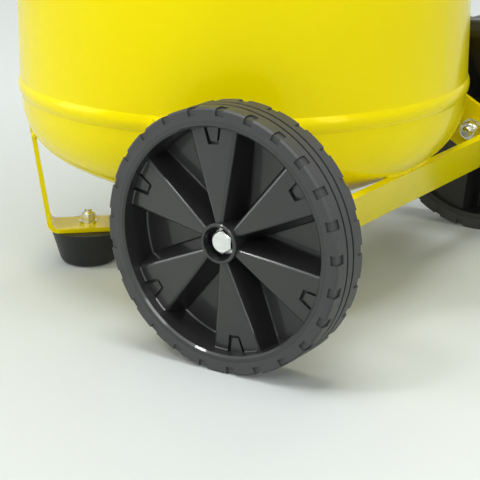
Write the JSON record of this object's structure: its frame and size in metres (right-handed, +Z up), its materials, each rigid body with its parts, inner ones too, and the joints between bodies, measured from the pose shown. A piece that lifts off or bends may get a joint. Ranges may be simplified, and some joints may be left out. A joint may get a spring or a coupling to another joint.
{
  "type": "wheelbarrow air compressor",
  "caption": "Upright portable air compressor: a vertical tank on a wheeled axle and rubber feet, with a direct-drive piston pump, motor, pressure controls and a pull handle on top.",
  "frame": {"origin": "on the floor, under the middle of the whole machine", "axes": "+Z up along the tank, +X towards the wheels and the handle, Y along the axle"},
  "size_m": [0.4684, 0.374, 1.0818],
  "materials": {
    "tank_paint": "gloss yellow enamel over rolled steel",
    "rim_plastic": "satin black moulding with a fine grain",
    "tyre_rubber": "dull black rubber",
    "foot_rubber": "dull black rubber",
    "zinc_steel": "bright zinc plating",
    "cast_aluminium": "die-cast, lightly blasted",
    "cast_iron": "black heat-resistant paint on cast iron",
    "motor_paint": "satin black paint",
    "black_plastic": "moulded, light grain",
    "red_plastic": "gloss red moulding",
    "ground_steel": "ground steel",
    "core_steel": "laminations with a cast aluminium cage",
    "winding": "steel laminations and varnished copper windings",
    "brass": "turned brass",
    "plated_brass": "nickel-plated, satin",
    "sleeve_steel": "turned steel, plated",
    "tube_metal": "bent aluminium tube",
    "gauge_case": "black case",
    "needle_paint": "black paint"
  },
  "bodies": {
    "machine": {"axle_bolts": "zinc_steel", "axle_bracket": "tank_paint", "axle_nuts": "zinc_steel", "bearings": "ground_steel", "check_valve": "brass", "crank": "ground_steel", "crankcase": "cast_aluminium", "crankcase_cover": "cast_aluminium", "cylinder": "cast_iron", "cylinder_head": "cast_aluminium", "delivery_tube": "tube_metal", "drain_valve": "brass", "fan_cover": "black_plastic", "foot_bolts": "zinc_steel", "foot_brackets": "tank_paint", "handle": "tank_paint", "handle_grip": "foot_rubber", "head_bolts": "zinc_steel", "intake_filter": "black_plastic", "left_foot": "foot_rubber", "lower_head": "tank_paint", "manifold": "plated_brass", "motor_housing": "motor_paint", "motor_shield": "cast_aluminium", "outlet_coupler": "plated_brass", "outlet_gauge": "gauge_case", "pipe_nipples": "brass", "piston_rod": "ground_steel", "pressure_switch": "black_plastic", "pump_bolts": "zinc_steel", "pump_isolators": "foot_rubber", "regulator": "plated_brass", "right_foot": "foot_rubber", "saddle": "tank_paint", "safety_valve": "brass", "stator": "winding", "tank_coupler": "plated_brass", "tank_gauge": "gauge_case", "tank_shell": "tank_paint", "terminal_box": "black_plastic", "unloader_line": "tube_metal", "upper_head": "tank_paint", "valve_plate": "cast_aluminium"},
    "left_wheel": {"left_rim": "rim_plastic", "left_tyre": "tyre_rubber"},
    "right_wheel": {"right_rim": "rim_plastic", "right_tyre": "tyre_rubber"},
    "rotating_assembly": {"rotor": "core_steel", "shaft": "ground_steel", "fan": "black_plastic"},
    "power_knob": {"switch_knob": "red_plastic"},
    "overload_button": {"reset_button": "black_plastic"},
    "pressure_knob": {"regulator_knob": "black_plastic"},
    "tank_needle": {"tank_pointer": "needle_paint"},
    "outlet_needle": {"outlet_pointer": "needle_paint"},
    "tank_sleeve": {"tank_coupler_sleeve": "sleeve_steel"},
    "outlet_sleeve": {"outlet_coupler_sleeve": "sleeve_steel"},
    "relief_ring": {"safety_ring": "plated_brass"},
    "non_return_disc": {"check_disc": "brass"},
    "drain_wing": {"drain_screw": "brass"}
  },
  "joints": [
    {"name": "left_wheel_spin", "type": "hinge", "parent": "machine", "child": "left_wheel", "pos_m": [0.12775, -0.1725, 0.08], "axis": [0, 1, 0], "continuous": true},
    {"name": "right_wheel_spin", "type": "hinge", "parent": "machine", "child": "right_wheel", "pos_m": [0.12775, 0.1725, 0.08], "axis": [0, 1, 0], "continuous": true},
    {"name": "motor_spin", "type": "hinge", "parent": "machine", "child": "rotating_assembly", "pos_m": [0.02275, 0.018, 0.90985], "axis": [0, 1, 0], "continuous": true},
    {"name": "power_knob_pull", "type": "slide", "parent": "machine", "child": "power_knob", "axis": [0, 0, 1], "range_m": [0, 0.007]},
    {"name": "overload_button_press", "type": "slide", "parent": "machine", "child": "overload_button", "axis": [-1, 0, 0], "range_m": [0, 0.002], "stiffness_N_per_m": 400},
    {"name": "pressure_knob_turn", "type": "hinge", "parent": "machine", "child": "pressure_knob", "pos_m": [-0.17625, 0.084, 0.676], "axis": [0, 0, 1], "range_deg": [0, 1440]},
    {"name": "tank_needle_turn", "type": "hinge", "parent": "machine", "child": "tank_needle", "pos_m": [-0.22525, -0.024, 0.64], "axis": [1, 0, 0], "range_deg": [0, 270]},
    {"name": "outlet_needle_turn", "type": "hinge", "parent": "machine", "child": "outlet_needle", "pos_m": [-0.22825, 0.084, 0.64], "axis": [1, 0, 0], "range_deg": [0, 270]},
    {"name": "tank_sleeve_pull", "type": "slide", "parent": "machine", "child": "tank_sleeve", "axis": [0, 1, 0], "range_m": [0, 0.003], "stiffness_N_per_m": 800},
    {"name": "outlet_sleeve_pull", "type": "slide", "parent": "machine", "child": "outlet_sleeve", "axis": [0, -1, 0], "range_m": [0, 0.003], "stiffness_N_per_m": 800},
    {"name": "relief_ring_pull", "type": "slide", "parent": "machine", "child": "relief_ring", "axis": [0, 0, 1], "range_m": [0, 0.003], "stiffness_N_per_m": 1000},
    {"name": "non_return_lift", "type": "slide", "parent": "machine", "child": "non_return_disc", "axis": [0, 0, 1], "range_m": [0, 0.003]},
    {"name": "drain_wing_turn", "type": "hinge", "parent": "machine", "child": "drain_wing", "pos_m": [0.02275, 0, 0.032], "axis": [0, 0, 1], "range_deg": [0, 720]}
  ]
}
